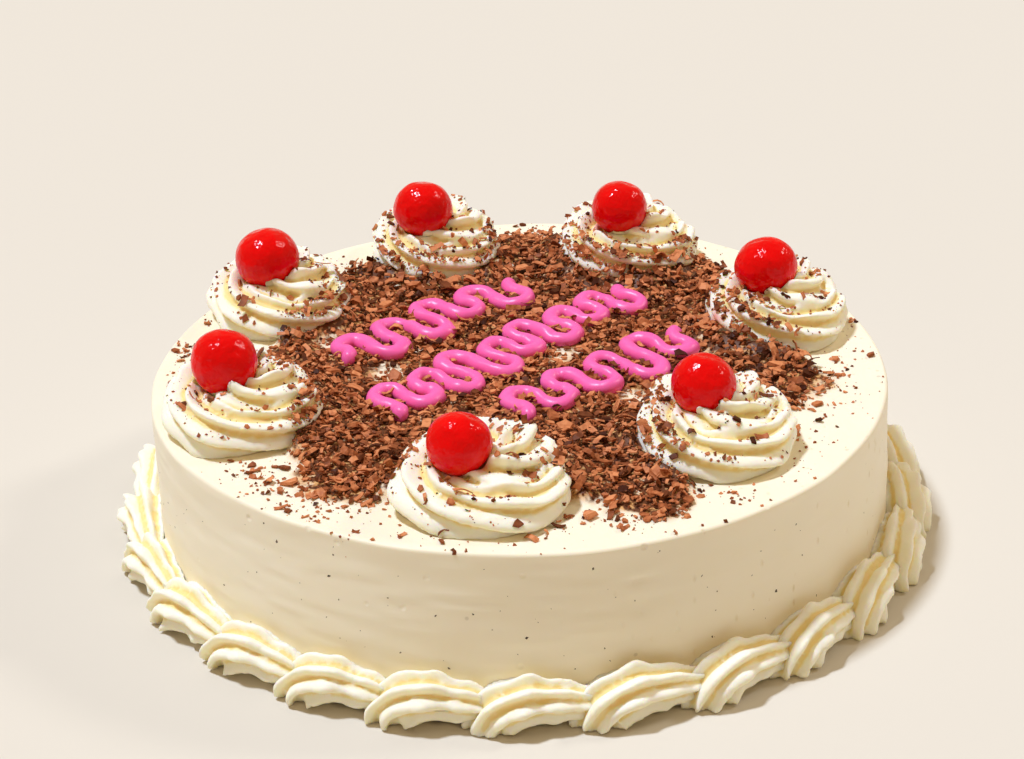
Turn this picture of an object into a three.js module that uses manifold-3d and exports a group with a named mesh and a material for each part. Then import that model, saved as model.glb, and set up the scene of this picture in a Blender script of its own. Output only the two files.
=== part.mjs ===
// Black forest cake, whole and uncut. Millimetres, +Z up, with the origin at the
// centre of its flat underside. A round cake iced in cream carries seven piped
// rosettes with a cherry on each, three rows of pink piping over a bed of
// chocolate flakes, and a border of piped shells round its foot.

import * as THREE from 'three';
import { mergeVertices } from 'three/addons/utils/BufferGeometryUtils.js';
import Module from 'manifold-3d';

const wasm = await Module();
wasm.setup();

const DEG = Math.PI / 180;
const TURN = 2 * Math.PI;
const GAP = 0.3; // clear space between pieces that touch

// The iced cake: a drum whose wall leans in a little and is uneven near its rim.
const cake = {
  radius: 119.5,
  height: 53.6,
  footRound: 1.2,
  rimRound: 2.0,
  lean: 1.2,
  evenBelow: 20,
  sectors: 60,
  wallSteps: 2,
  rimSteps: 2,
};
const rimWaves = [
  { count: 2, size: 0.8, at: 8 * DEG },
  { count: 3, size: 0.7, at: -172 * DEG },
  { count: 5, size: 0.4, at: -88 * DEG },
];

// Rosettes: where each stands on the top, its radius, its height and the way its tail points.
const rosettes = [
  { x: -12, y: -80, radius: 30.5, height: 18.5, tail: 25 * DEG },
  { x: 60, y: -51, radius: 28.5, height: 18.5, tail: 30 * DEG },
  { x: 86, y: 32, radius: 26.5, height: 18.5, tail: 35 * DEG },
  { x: 38, y: 88, radius: 27, height: 18, tail: 40 * DEG },
  { x: -28.5, y: 89.5, radius: 25.5, height: 18, tail: 30 * DEG },
  { x: -81, y: 50, radius: 27, height: 18, tail: 35 * DEG },
  { x: -88.5, y: -29, radius: 28, height: 18.5, tail: 38 * DEG },
];
const swirl = {
  underhang: -28 * DEG, // the outer wall tucks in below its widest ring
  ridges: 3.8, // from the foot to the middle
  starts: 3, // ridges met on one turn round the rosette
  depth: 4.4,
  grooveFade: 0.3, // lower means that the grooves run nearer to the middle
  fullness: 0.85, // lower means a blunter shoulder
  ruffles: 3,
  ruffleSize: 0.035, // of the radius
  columns: 20,
  rows: 12,
  crownShare: 0.35, // of one row, left as a small crown in the middle
};
const tail = { length: 9, width: 5.5, sides: 6, lift: 14.5, reach: 0.62, pitch: 50 * DEG };

// Cherries: centres over the cake and their radii, in the order of the rosettes.
const cherryLift = 20; // centre above the cake's top
const cherries = [
  { x: -19, y: -85.5, radius: 10.1 },
  { x: 56, y: -50.6, radius: 10.2 },
  { x: 82.4, y: 33, radius: 10.5 },
  { x: 35.6, y: 84, radius: 9.9 },
  { x: -32.5, y: 86.5, radius: 10.3 },
  { x: -84.6, y: 49.8, radius: 11 },
  { x: -93, y: -28, radius: 11.1 },
];
const cherryForm = { around: 12, down: 8, squash: 0.95 };

// The shell border: piped anticlockwise, each tail ending against the next head.
const border = {
  count: 25,
  firstFoot: -94 * DEG,
  headRadius: 10.4,
  tailRadius: 6.4,
  headCentre: { out: 6.4, up: 8.6 },
  tailCentre: { out: 5, up: 5 },
  grooveDepth: 0.3, // of the radius
  lobeAngles: [97, 52, 7, -38],
  halfLobe: 22.5, // degrees from a lobe to the groove beside it
  headTwist: -34 * DEG,
  twistShare: 0.5, // of the length, over which the twist dies out
  headShare: 0.16, // of the length, up to the fullest part of the head
  bluntness: 0.6, // size of the very start against the fullest part
  bluntDrop: 0.8, // and how high its centre is
  backHeight: 0.72, // of the radius, where the back leaves the wall
  backClear: 0.6, // no lobe comes nearer to the wall
  slant: 0.32, // the foot of each head runs ahead of its top
  smallest: 0.95,
  largest: 1.04,
  flattest: 0.94,
  pitchJitter: 0.05, // of the pitch
  seed: 5,
  stations: [0, 0.05, 0.16, 0.34, 0.56, 0.8, 1],
};

// Pink piping: three meandering rows laid over the middle, from start to end.
const piping = {
  width: 4.9,
  height: 4.6,
  sections: 5,
  step: 5.6,
  reach: 9.3, // of a peak to either side of its row
  uneven: 3,
  shift: 0.9,
  bulge: 2.1,
  endReach: 0.45,
  divisions: 24,
  base: -35, // degrees, where the rounded section meets the cream
  sweep: 250, // degrees round to the other side
  middle: 0.4, // of the height, where the section is widest
  endSize: 0.55,
  smallest: 0.92,
  largest: 1.06,
};
const pipingRows = [
  { start: [-60, 9], end: [1, 61], turns: 9, seed: 46 },
  { start: [-43, -30], end: [38, 54], turns: 15, seed: 99 },
  { start: [-3, -33], end: [57, 18.5], turns: 9, seed: 56 },
];

// Chocolate flakes large enough to be solid: chips sunk a little in the cream.
const flakes = {
  count: 86,
  bedRadius: 103,
  smallest: 2.1,
  largest: 3.9,
  thickness: 1.5,
  unevenThickness: 0.2,
  narrowness: 0.7, // width against length
  cornerJitter: 0.25, // of the angle between corners
  innermost: 0.75, // of the size, for a corner
  tilt: 30, // degrees
  sunk: 0.8,
  spacing: 7.2,
  clearance: 0.8, // from a rosette
  pipingClearance: 1,
  tries: 20000,
  seed: 11,
};

// Where each kind of piece starts its own series of uneven sizes.
const seeds = { rosette: 101, shell: 201, piping: 301 };

const colours = {
  icing: { color: 0xf6efdb, roughness: 0.6 },
  cream: { color: 0xf8f1dc, roughness: 0.5 },
  cherry: { color: 0xb80a12, roughness: 0.12 },
  pink: { color: 0xf060b4, roughness: 0.4 },
};

// A repeatable series of numbers between 0 and 1.
function series(seed) {
  let state = seed * 7919;
  const next = () => {
    state = (state * 16807) % 2147483647;
    return state / 2147483647;
  };
  next();
  next();
  return next;
}

function between(random, low, high) {
  return low + (high - low) * random();
}

function mix(a, b, t) {
  return a + (b - a) * t;
}

function smooth(t) {
  const c = Math.min(1, Math.max(0, t));
  return c * c * (3 - 2 * c);
}

// A closed skin through rings that all have the same number of points.
function loft(rings) {
  const size = rings[0].length;
  const positions = [];
  const index = [];
  for (const ring of rings) {
    for (const p of ring) positions.push(p.x, p.y, p.z);
  }
  for (let i = 0; i + 1 < rings.length; i += 1) {
    for (let k = 0; k < size; k += 1) {
      const next = (k + 1) % size;
      const a = i * size + k;
      const b = i * size + next;
      const c = a + size;
      const d = b + size;
      index.push(a, b, c, b, d, c);
    }
  }
  closeRing(rings[0], 0, size, true, positions, index);
  closeRing(rings[rings.length - 1], (rings.length - 1) * size, size, false, positions, index);
  return outward(positions, index);
}

// A fan from the middle of a ring closes the end of a skin.
function closeRing(ring, first, size, reversed, positions, index) {
  const middle = new THREE.Vector3();
  for (const p of ring) middle.addScaledVector(p, 1 / size);
  const centre = positions.length / 3;
  positions.push(middle.x, middle.y, middle.z);
  for (let k = 0; k < size; k += 1) {
    const a = first + k;
    const b = first + ((k + 1) % size);
    if (reversed) index.push(b, a, centre);
    else index.push(a, b, centre);
  }
}

// The geometry with its faces turned outwards, whichever way its rings ran.
function outward(positions, index) {
  let volume = 0;
  const corner = (i) => new THREE.Vector3().fromArray(positions, 3 * index[i]);
  for (let i = 0; i < index.length; i += 3) {
    volume += corner(i).dot(corner(i + 1).cross(corner(i + 2)));
  }
  if (volume < 0) index.reverse();
  const geometry = new THREE.BufferGeometry();
  geometry.setAttribute('position', new THREE.Float32BufferAttribute(positions, 3));
  geometry.setIndex(index);
  return geometry;
}

function toSolid(geometry) {
  const bare = geometry.clone();
  bare.deleteAttribute('normal');
  bare.deleteAttribute('uv');
  const merged = mergeVertices(bare, 1e-4);
  const vertProperties = new Float32Array(merged.attributes.position.array);
  const triVerts = new Uint32Array(merged.index.array);
  return new wasm.Manifold(new wasm.Mesh({ numProp: 3, vertProperties, triVerts }));
}

function toGeometry(solid) {
  const { vertProperties, triVerts } = solid.getMesh();
  const geometry = new THREE.BufferGeometry();
  geometry.setAttribute('position', new THREE.Float32BufferAttribute(vertProperties, 3));
  geometry.setIndex([...triVerts]);
  return geometry;
}

// The drum's radius round the cake and up its wall.
function wallRadius(angle, z) {
  const above = smooth((z - cake.evenBelow) / (cake.height - cake.evenBelow));
  let wave = 0;
  for (const { count, size, at } of rimWaves) wave += size * Math.cos(count * (angle - at));
  return cake.radius + above * (wave - cake.lean);
}

// The drum's profile from the foot up, as insets from its wall.
function drumProfile() {
  const { height, footRound, rimRound, evenBelow, wallSteps, rimSteps } = cake;
  const profile = [{ inset: footRound, z: 0 }, { inset: 0, z: footRound }];
  for (let i = 0; i < wallSteps; i += 1) {
    profile.push({ inset: 0, z: mix(evenBelow, height - rimRound, i / wallSteps) });
  }
  for (let i = 0; i <= rimSteps; i += 1) {
    const turned = (i / rimSteps) * (Math.PI / 2);
    const inset = rimRound * (1 - Math.cos(turned));
    profile.push({ inset, z: height - rimRound * (1 - Math.sin(turned)) });
  }
  return profile;
}

function drumGeometry() {
  const rings = drumProfile().map(({ inset, z }) => {
    const ring = [];
    for (let k = 0; k < cake.sectors; k += 1) {
      const angle = (k / cake.sectors) * TURN;
      const r = wallRadius(angle, z) - inset;
      ring.push(new THREE.Vector3(r * Math.cos(angle), r * Math.sin(angle), z));
    }
    return ring;
  });
  return loft(rings);
}

// A chip of chocolate: an uneven flat outline with four or five corners.
function chipGeometry(random, size) {
  const { cornerJitter, innermost, narrowness, unevenThickness, tilt } = flakes;
  const corners = random() < 0.5 ? 4 : 5;
  const outline = [];
  for (let k = 0; k < corners; k += 1) {
    const angle = ((k + between(random, -cornerJitter, cornerJitter)) / corners) * TURN;
    const r = size * between(random, innermost, 1);
    outline.push(new THREE.Vector2(r * Math.cos(angle), narrowness * r * Math.sin(angle)));
  }
  const depth = flakes.thickness * between(random, 1 - unevenThickness, 1 + unevenThickness);
  const chip = new THREE.ExtrudeGeometry(new THREE.Shape(outline), { depth, bevelEnabled: false });
  chip.rotateX(between(random, -tilt, tilt) * DEG);
  chip.rotateY(between(random, -tilt, tilt) * DEG);
  chip.rotateZ(random() * TURN);
  chip.computeBoundingBox();
  return chip;
}

function clearOfRosettes(x, y, margin) {
  return rosettes.every((r) => Math.hypot(x - r.x, y - r.y) > r.radius + margin);
}

function clearOfPoints(x, y, points, margin) {
  return points.every((p) => Math.hypot(x - p.x, y - p.y) > margin);
}

// Places for the chips: over the whole bed, clear of what else lies on the top.
function chipPlaces(random, lines) {
  const places = [];
  const fromPiping = flakes.largest + piping.width / 2 + flakes.pipingClearance;
  for (let i = 0; i < flakes.tries && places.length < flakes.count; i += 1) {
    const angle = random() * TURN;
    const r = Math.sqrt(random()) * flakes.bedRadius;
    const x = r * Math.cos(angle);
    const y = r * Math.sin(angle);
    const free = clearOfRosettes(x, y, flakes.largest + flakes.clearance)
      && clearOfPoints(x, y, lines, fromPiping)
      && clearOfPoints(x, y, places, flakes.spacing);
    if (free) places.push(new THREE.Vector3(x, y, cake.height));
  }
  return places;
}

function cakeGeometry(lines) {
  const random = series(flakes.seed);
  let solid = toSolid(drumGeometry());
  chipPlaces(random, lines).forEach((place, i, all) => {
    const size = mix(flakes.largest, flakes.smallest, i / all.length);
    const chip = chipGeometry(random, size);
    chip.translate(place.x, place.y, place.z - flakes.sunk - chip.boundingBox.min.z);
    solid = solid.add(toSolid(chip));
  });
  return toGeometry(solid);
}

// A swirl of piped cream: ridges that wind down and out from its middle, with a
// pulled tail at the end of the last turn and a socket where the cherry sits.
function rosetteGeometry({ x, y, radius, height, tail: tailAngle }, cherry, random) {
  const { underhang, ridges, starts, columns, rows } = swirl;
  const lowest = Math.sin(underhang);
  const uneven = between(random, 0, TURN);
  const rings = [];
  for (let i = 0; i < rows; i += 1) {
    const t = i / (rows - swirl.crownShare);
    const beta = mix(underhang, Math.PI / 2, t);
    const fade = Math.cos(beta) ** swirl.grooveFade;
    const ring = [];
    for (let k = 0; k < columns; k += 1) {
      const angle = (k / columns) * TURN;
      const phase = ridges * t + starts * (angle - tailAngle) / TURN;
      const groove = swirl.depth * (1 - Math.abs(Math.sin(Math.PI * phase))) * fade;
      const ruffle = 1 - swirl.ruffleSize * (1 + Math.sin(swirl.ruffles * angle + uneven));
      const across = (radius * ruffle - groove) * Math.cos(beta) ** swirl.fullness;
      const rise = (height - groove * Math.sin(Math.max(beta, 0))) * (Math.sin(beta) - lowest);
      const up = i === 0 ? 0 : rise / (1 - lowest);
      ring.push(new THREE.Vector3(across * Math.cos(angle), across * Math.sin(angle), up));
    }
    rings.push(ring);
  }
  const body = toSolid(loft(rings));
  const joined = body.add(toSolid(tailGeometry(radius, tailAngle)));
  const place = new THREE.Matrix4().makeTranslation(x, y, cake.height + GAP);
  const swirled = toGeometry(joined).applyMatrix4(place);
  return toGeometry(toSolid(swirled).subtract(toSolid(cherryGeometry(cherry, GAP))));
}

// The tail: a cone pulled up and outwards from the crest.
function tailGeometry(radius, tailAngle) {
  const cone = new THREE.ConeGeometry(tail.width / 2, tail.length, tail.sides);
  cone.rotateX(Math.PI / 2);
  cone.rotateY(tail.pitch);
  cone.translate(tail.reach * radius, 0, tail.lift);
  cone.rotateZ(tailAngle);
  return cone;
}

function cherryGeometry({ x, y, radius }, grow) {
  const { around, down, squash } = cherryForm;
  const scale = (radius + grow / Math.cos(Math.PI / down)) / radius;
  const ball = new THREE.SphereGeometry(radius * scale, around, down);
  ball.rotateX(Math.PI / 2);
  ball.scale(1, 1, squash);
  ball.translate(x, y, cake.height + cherryLift);
  return ball;
}

// One ring of a shell: up the wall, then over the lobes and down to the table.
function shellSection(u, scale, lobes) {
  const { headShare, bluntness, headCentre, tailCentre, halfLobe } = border;
  const full = 1 - smooth((u - headShare) / (1 - headShare));
  const taper = u < headShare ? mix(bluntness, 1, Math.sqrt(u / headShare)) : 1;
  const radius = scale * taper * mix(border.tailRadius, border.headRadius, full);
  const out = mix(tailCentre.out, headCentre.out, full);
  const up = mix(tailCentre.up, headCentre.up, full) * mix(border.bluntDrop, 1, taper);
  const twist = border.headTwist * (1 - smooth(u / border.twistShare));
  const points = [new THREE.Vector2(GAP, 0), new THREE.Vector2(GAP, up + border.backHeight * radius)];
  const place = (degrees, reach) => {
    const angle = degrees * DEG + twist;
    const x = Math.max(out + reach * Math.cos(angle), GAP + border.backClear);
    const z = Math.max(up + reach * Math.sin(angle), 0);
    points.push(new THREE.Vector2(x, z));
  };
  border.lobeAngles.forEach((degrees, k) => {
    place(degrees + halfLobe, radius * (1 - border.grooveDepth));
    place(degrees, radius * lobes[k]);
  });
  const last = border.lobeAngles[border.lobeAngles.length - 1] - halfLobe;
  place(last, radius * (1 - border.grooveDepth));
  return points;
}

function shellGeometry(start, end, random) {
  const scale = between(random, border.smallest, border.largest);
  const lobes = border.lobeAngles.map(() => between(random, border.flattest, border.largest));
  const rings = border.stations.map((u) => {
    const angle = mix(start, end, u);
    return shellSection(u, scale, lobes).map((p) => {
      const lean = border.slant * (p.y - border.tailCentre.up) / cake.radius;
      const r = cake.radius + p.x;
      const turned = angle + lean;
      return new THREE.Vector3(r * Math.cos(turned), r * Math.sin(turned), p.y);
    });
  });
  return loft(rings);
}

// The angles where the shells start, a little uneven, as piped by hand.
function shellStarts() {
  const random = series(border.seed);
  const pitch = TURN / border.count;
  const starts = [];
  for (let k = 0; k < border.count; k += 1) {
    const jitter = between(random, -border.pitchJitter, border.pitchJitter);
    starts.push(border.firstFoot + pitch * (k + jitter));
  }
  starts.push(starts[0] + TURN);
  return starts;
}

// The centre line of a meandering row: peaks to either side of the straight line
// from start to end, uneven as piped by hand, joined by strokes that bulge.
function meander({ start, end, turns, seed }) {
  const random = series(seed);
  const from = new THREE.Vector2(...start);
  const span = new THREE.Vector2(...end).sub(from);
  const peaks = [];
  for (let k = 0; k <= turns; k += 1) {
    const side = k % 2 === 0 ? -1 : 1;
    const x = (span.length() * k) / turns + between(random, -piping.shift, piping.shift);
    const reach = piping.reach + between(random, -piping.uneven, piping.uneven);
    const atEnd = k === 0 || k === turns;
    peaks.push(new THREE.Vector2(x, side * reach * (atEnd ? piping.endReach : 1)));
  }
  const track = [];
  for (let k = 0; k < turns; k += 1) {
    for (let i = 0; i < piping.divisions; i += 1) {
      const t = i / piping.divisions;
      const x = mix(peaks[k].x, peaks[k + 1].x, t) + piping.bulge * Math.sin(TURN * t);
      const y = mix(peaks[k].y, peaks[k + 1].y, (1 - Math.cos(Math.PI * t)) / 2);
      track.push(new THREE.Vector2(x, y));
    }
  }
  track.push(peaks[turns]);
  return track.map((p) => p.rotateAround(new THREE.Vector2(), span.angle()).add(from));
}

// Every so many millimetres along a track, a point and the way it runs there.
function stationsAlong(track, step) {
  const curve = new THREE.CatmullRomCurve3(track.map((p) => new THREE.Vector3(p.x, p.y, 0)));
  curve.arcLengthDivisions = track.length;
  const count = Math.round(curve.getLength() / step);
  const stations = [];
  for (let i = 0; i <= count; i += 1) {
    const point = curve.getPointAt(i / count);
    const tangent = curve.getTangentAt(i / count);
    stations.push({ point, tangent });
  }
  return stations;
}

// A piped rope with a flat base and round ends, laid on the cake's top.
function ropeGeometry(track, random) {
  const { width, height, sections, base, sweep, middle } = piping;
  const stations = stationsAlong(track, piping.step);
  const last = stations.length - 1;
  const rings = stations.map(({ point, tangent }, i) => {
    const side = new THREE.Vector3(-tangent.y, tangent.x, 0);
    const end = i === 0 || i === last ? piping.endSize : 1;
    const size = end * between(random, piping.smallest, piping.largest);
    const ring = [];
    for (let k = 0; k < sections; k += 1) {
      const angle = (base + (sweep * k) / (sections - 1)) * DEG;
      const across = (size * width * Math.cos(angle)) / 2;
      const up = Math.max(0, size * height * (middle + (1 - middle) * Math.sin(angle)));
      const p = point.clone().addScaledVector(side, across);
      p.z = cake.height + GAP + up;
      ring.push(p);
    }
    return ring;
  });
  return loft(rings);
}

function piece(name, geometry, { color, roughness }) {
  const faceted = geometry.toNonIndexed();
  faceted.computeVertexNormals();
  const material = new THREE.MeshStandardMaterial({ color, roughness, metalness: 0 });
  const mesh = new THREE.Mesh(faceted, material);
  mesh.name = name;
  return mesh;
}

const group = new THREE.Group();
group.name = 'black_forest_cake';

const tracks = pipingRows.map(meander);
const lines = tracks.flat();
group.add(piece('cake_body', cakeGeometry(lines), colours.icing));

rosettes.forEach((rosette, i) => {
  const random = series(seeds.rosette + i);
  group.add(piece(`rosette_${i + 1}`, rosetteGeometry(rosette, cherries[i], random), colours.cream));
  group.add(piece(`cherry_${i + 1}`, cherryGeometry(cherries[i], 0), colours.cherry));
});

const starts = shellStarts();
const spacing = GAP / cake.radius;
for (let k = 0; k < border.count; k += 1) {
  const random = series(seeds.shell + k);
  const name = `shell_${String(k + 1).padStart(2, '0')}`;
  const geometry = shellGeometry(starts[k], starts[k + 1] - spacing, random);
  group.add(piece(name, geometry, colours.cream));
}

tracks.forEach((track, i) => {
  group.add(piece(`piping_${i + 1}`, ropeGeometry(track, series(seeds.piping + i)), colours.pink));
});

export default group;
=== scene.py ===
import math

import bpy
import numpy as np
from mathutils import Matrix, Vector
from mathutils.bvhtree import BVHTree


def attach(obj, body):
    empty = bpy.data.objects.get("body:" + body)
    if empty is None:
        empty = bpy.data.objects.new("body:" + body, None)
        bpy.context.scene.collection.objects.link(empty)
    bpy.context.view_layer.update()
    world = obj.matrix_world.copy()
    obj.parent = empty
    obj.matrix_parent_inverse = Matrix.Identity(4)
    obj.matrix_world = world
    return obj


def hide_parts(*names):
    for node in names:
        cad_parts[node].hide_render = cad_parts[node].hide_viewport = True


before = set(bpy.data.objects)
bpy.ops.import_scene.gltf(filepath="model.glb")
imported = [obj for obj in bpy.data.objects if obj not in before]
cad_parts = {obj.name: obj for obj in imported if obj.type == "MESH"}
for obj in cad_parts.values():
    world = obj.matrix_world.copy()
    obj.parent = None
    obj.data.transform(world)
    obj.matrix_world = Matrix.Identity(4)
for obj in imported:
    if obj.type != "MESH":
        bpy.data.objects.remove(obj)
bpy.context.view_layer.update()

# The looks of a black forest cake. Sizes are in millimetres until a mesh is made,
# with the origin at the centre of the cake's underside, as in the frame.

MM = 0.001
TURN = 2 * math.pi

# Driving values of the solids, repeated here so that each piece lies where its solid is.
CAKE_RADIUS = 119.5
CAKE_HEIGHT = 53.6
FOOT_ROUND = 1.2
WALL_LEAN = 1.2
EVEN_BELOW = 20  # the wall is round up to this height
RIM_WAVES = [(2, 0.8, 8), (3, 0.7, -172), (5, 0.4, -88)]  # count, size, angle of the crest
GAP = 0.3  # between the cake and what is piped on it
ICING_EDGE = 1.2  # the icing's rim is a little crisper than the solid's

# Rosettes: place on the top, radius, height, angle of the tail.
ROSETTES = [
    (-12, -80, 30.5, 18.5, 25),
    (60, -51, 28.5, 18.5, 30),
    (86, 32, 26.5, 18.5, 35),
    (38, 88, 27, 18, 40),
    (-28.5, 89.5, 25.5, 18, 30),
    (-81, 50, 27, 18, 35),
    (-88.5, -29, 28, 18.5, 38),
]
# Cherries: place over the top and radius, in the order of the rosettes.
CHERRIES = [
    (-19, -85.5, 10.1),
    (56, -50.6, 10.2),
    (82.4, 33, 10.5),
    (35.6, 84, 9.9),
    (-32.5, 86.5, 10.3),
    (-84.6, 49.8, 11),
    (-93, -28, 11.1),
]
CHERRY_LIFT = 20
CHERRY_SQUASH = 0.95

SHELLS = 25
FIRST_FOOT = -94  # degrees, where the first shell starts

KNIFE_MARKS = 26

# The fine skins: points round and along them, and the cubes' sides of the remeshed ones.
CAKE_COLUMNS = 600
WALL_ROWS = 44
EDGE_ROWS = 8
TOP_ROWS = 71
ROPE_COLUMNS = 112
ROSETTE_STEPS = 150
SHELL_STEPS = 70
ROSETTE_VOXEL = 0.79
SHELL_VOXEL = 0.84
FOLD_SHADE_ROUNDS = 9  # how far round a point its surroundings count
FOLD_SHADE_FULL = 0.55  # a hollow this deep has its full painted shade

# The piped rope: ridges round it, how deep they are cut, and how far they lean over.
RIDGES = 8
RIDGE_SHARPNESS = 1.15
ROSETTE_RIDGE_DEPTH = 0.5
ROSETTE_LEAN = 2.7
SHELL_RIDGE_DEPTH = 0.55
SHELL_LEAN = 1.7

# A rosette's rope: its radius as a share of the rosette's, its windings, and how thick it is
# along its way, as (share of the way, share of its radius).
ROSETTE_ROPE = 0.4
ROSETTE_WINDINGS = 1.62
ROSETTE_THICK = [(0, 0.85), (0.25, 1.0), (0.5, 0.98), (0.84, 0.83), (0.92, 0.6), (0.96, 0.3), (1, 0.13)]

# A shell's rope: its radius as (share of the way, millimetres), and how far out from the wall and
# into it the shell may reach.
SHELL_THICK = [(0, 7.2), (0.3, 10), (0.5, 9.8), (0.76, 6.9), (1, 4.4)]
SHELL_REACH = 15.2
SHELL_SINK = 0.3
FRILL_PITCH = 6.2

# The pink piping: its width and height, and how its rows turn from side to side.
PIPE_WIDTH = 4.9
PIPE_HEIGHT = 4.6
PIPE_REACH = 9.3
PIPE_UNEVEN = 3
PIPE_SHIFT = 0.9
PIPE_BULGE = 2.1
PIPE_END_REACH = 0.45
PIPE_DIVISIONS = 24
PIPE_STEP = 1
PIPE_SECTIONS = 22
PIPE_ROWS = [  # start, end, turns, seed
    ((-60, 9), (1, 61), 9, 46),
    ((-43, -30), (38, 54), 15, 99),
    ((-3, -33), (57, 18.5), 9, 56),
]

# The large chips, as in the solids.
CHIP_COUNT = 86
CHIP_BED = 103
CHIP_SMALLEST = 2.1
CHIP_LARGEST = 3.9
CHIP_SPACING = 7.2
CHIP_FROM_ROSETTE = 0.8
CHIP_FROM_PIPE = 1
CHIP_SEED = 11

# The finer chocolate and the vanilla grains: how many, how far out, and how high they are piled.
SMALL_CHIPS = 5200
SHAVINGS = 2300
CRUMBS = 10000
VANILLA_GRAINS = 210
TOP_REACH = 117.3
PILE_HEIGHT = 2.5
DRIFT_HEIGHT = 4.2  # of the bed against the feet of the rosettes
CHOCOLATE_SEED = 11
VANILLA_SEED = 23

# How far out the chocolate bed runs, by angle round the cake: (degrees, millimetres).
BED_EDGE = [
    (-180, 80), (-172, 78), (-160, 74), (-142, 88), (-130, 103), (-118, 90), (-98, 78), (-82, 86),
    (-68, 105), (-52, 86), (-40, 76), (-22, 86), (-5, 101), (8, 88), (20, 86), (38, 100), (50, 101),
    (67, 88), (87, 102), (107, 88), (128, 98), (148, 84), (166, 82), (180, 80),
]
# Thin places in the bed, where the cream shows: x, y, radius.
BED_THIN = [(14, 10, 8), (-43, 0, 8), (36, -22, 7), (-20, 72, 6), (60, 6, 5), (-62, 22, 7)]

# Loose flakes beside the bed: x, y, radius, amount.
LOOSE = [
    (-113, 19, 5, 1), (-109, 23, 5, 0.8), (113, 8, 4, 0.7), (-110, -1, 7, 0.35), (-21, -114, 3, 1),
    (2, -116.5, 2.5, 0.7), (-52, -105, 3, 0.9), (63, -85, 4, 0.9), (30, -100, 5, 0.7), (50, -82, 5, 0.9),
    (-84, -63, 5, 0.8), (-79, -73, 6, 0.9), (-72, -83, 5, 0.6), (-61, -90, 6, 0.8), (-54, -88, 6, 0.8),
    (-46, -82, 7, 0.9), (39, -97, 5, 0.7), (15, -94, 3, 0.5), (-97, 5, 6, 0.5), (104, 46, 6, 0.5),
    (100, -10, 7, 0.6), (-58, 84, 6, 0.5), (5, 112, 5, 0.4), (-70, 88, 5, 0.4),
]
# Cherry juice on the side of a rosette: x, y, radius.
STAINS = [(63, 21, 6.5)]


def series(seed):
    """The same repeatable numbers between 0 and 1 that the solids are laid out with."""
    spread, factor, limit = 7919, 16807, 2147483647
    state = seed * spread

    def draw():
        nonlocal state
        state = (state * factor) % limit
        return state / limit

    draw()
    draw()
    return draw


def between(draw, low, high):
    return low + (high - low) * draw()


def smooth(t):
    c = np.clip(t, 0, 1)
    return c * c * (3 - 2 * c)


def lattice(ix, iy, iz, seed):
    """A repeatable number between -1 and 1 for each corner of a grid."""
    h = (ix * 374761393 + iy * 668265263 + iz * 1440662683 + seed * 974634777) & 0xFFFFFFFF
    h = ((h ^ (h >> 13)) * 1274126177) & 0xFFFFFFFF
    h = h ^ (h >> 16)
    return (h & 0xFFFF) / 32767.5 - 1


def noise(points, cell, seed):
    """Smooth noise between -1 and 1 with about one bump to a cell."""
    q = np.asarray(points, float) / cell + 100
    low = np.floor(q).astype(np.int64)
    f = smooth(q - low)
    total = 0
    for corner in range(8):
        d = np.array([corner & 1, (corner >> 1) & 1, corner >> 2])
        weight = np.prod(np.where(d == 1, f, 1 - f), axis=1)
        total = total + weight * lattice(*(low + d).T, seed)
    return total


def flat(x, y):
    """Places on a level plane, for noise."""
    return np.column_stack([x, y, np.zeros(len(x))])


def circle(angle, radius, z):
    """Points round the upright axis at one height."""
    return np.column_stack([radius * np.cos(angle), radius * np.sin(angle), np.full(len(angle), z)])


def wall_radius(angle, z):
    """How far out the wall is: it leans in and grows uneven towards its rim."""
    above = smooth((z - EVEN_BELOW) / (CAKE_HEIGHT - EVEN_BELOW))
    wave = sum(size * np.cos(count * (angle - math.radians(at))) for count, size, at in RIM_WAVES)
    return CAKE_RADIUS + above * (wave - WALL_LEAN)


def grid_faces(rows, columns):
    """Quads between rings that lie one after another."""
    k = np.arange(columns)
    ring = np.column_stack([k, (k + 1) % columns, (k + 1) % columns + columns, k + columns])
    return np.concatenate([ring + i * columns for i in range(rows - 1)])


def closed_skin(rings):
    """Points and faces of a closed skin through rings, each end closed by a fan."""
    rows, columns = rings.shape[:2]
    points = np.concatenate([rings.reshape(-1, 3), [rings[0].mean(axis=0)], [rings[-1].mean(axis=0)]])
    k = np.arange(columns)
    last = (rows - 1) * columns
    start = np.column_stack([(k + 1) % columns, k, np.full(columns, len(points) - 2)])
    end = np.column_stack([last + k, last + (k + 1) % columns, np.full(columns, len(points) - 1)])
    quads = grid_faces(rows, columns)
    a, b, c = points[quads[:, 0]], points[quads[:, 1]], points[quads[:, 2]]
    centred = points.mean(axis=0)
    volume = np.einsum("ij,ij->", a - centred, np.cross(b - centred, c - centred))
    faces = quads.tolist() + start.tolist() + end.tolist()
    if volume < 0:
        faces = [face[::-1] for face in faces]
    return points, faces


def new_object(name, points, faces, is_smooth=True):
    mesh = bpy.data.meshes.new(name)
    mesh.from_pydata(np.asarray(points) * MM, [], faces)
    mesh.polygons.foreach_set("use_smooth", np.full(len(mesh.polygons), is_smooth))
    mesh.update()
    obj = bpy.data.objects.new(name, mesh)
    bpy.context.scene.collection.objects.link(obj)
    return obj


def read_points(mesh):
    flat_list = np.empty(len(mesh.vertices) * 3, np.float32)
    mesh.vertices.foreach_get("co", flat_list)
    return flat_list.reshape(-1, 3).astype(float) / MM


def write_points(mesh, points):
    mesh.vertices.foreach_set("co", (points * MM).astype(np.float32).ravel())
    mesh.update()


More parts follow.
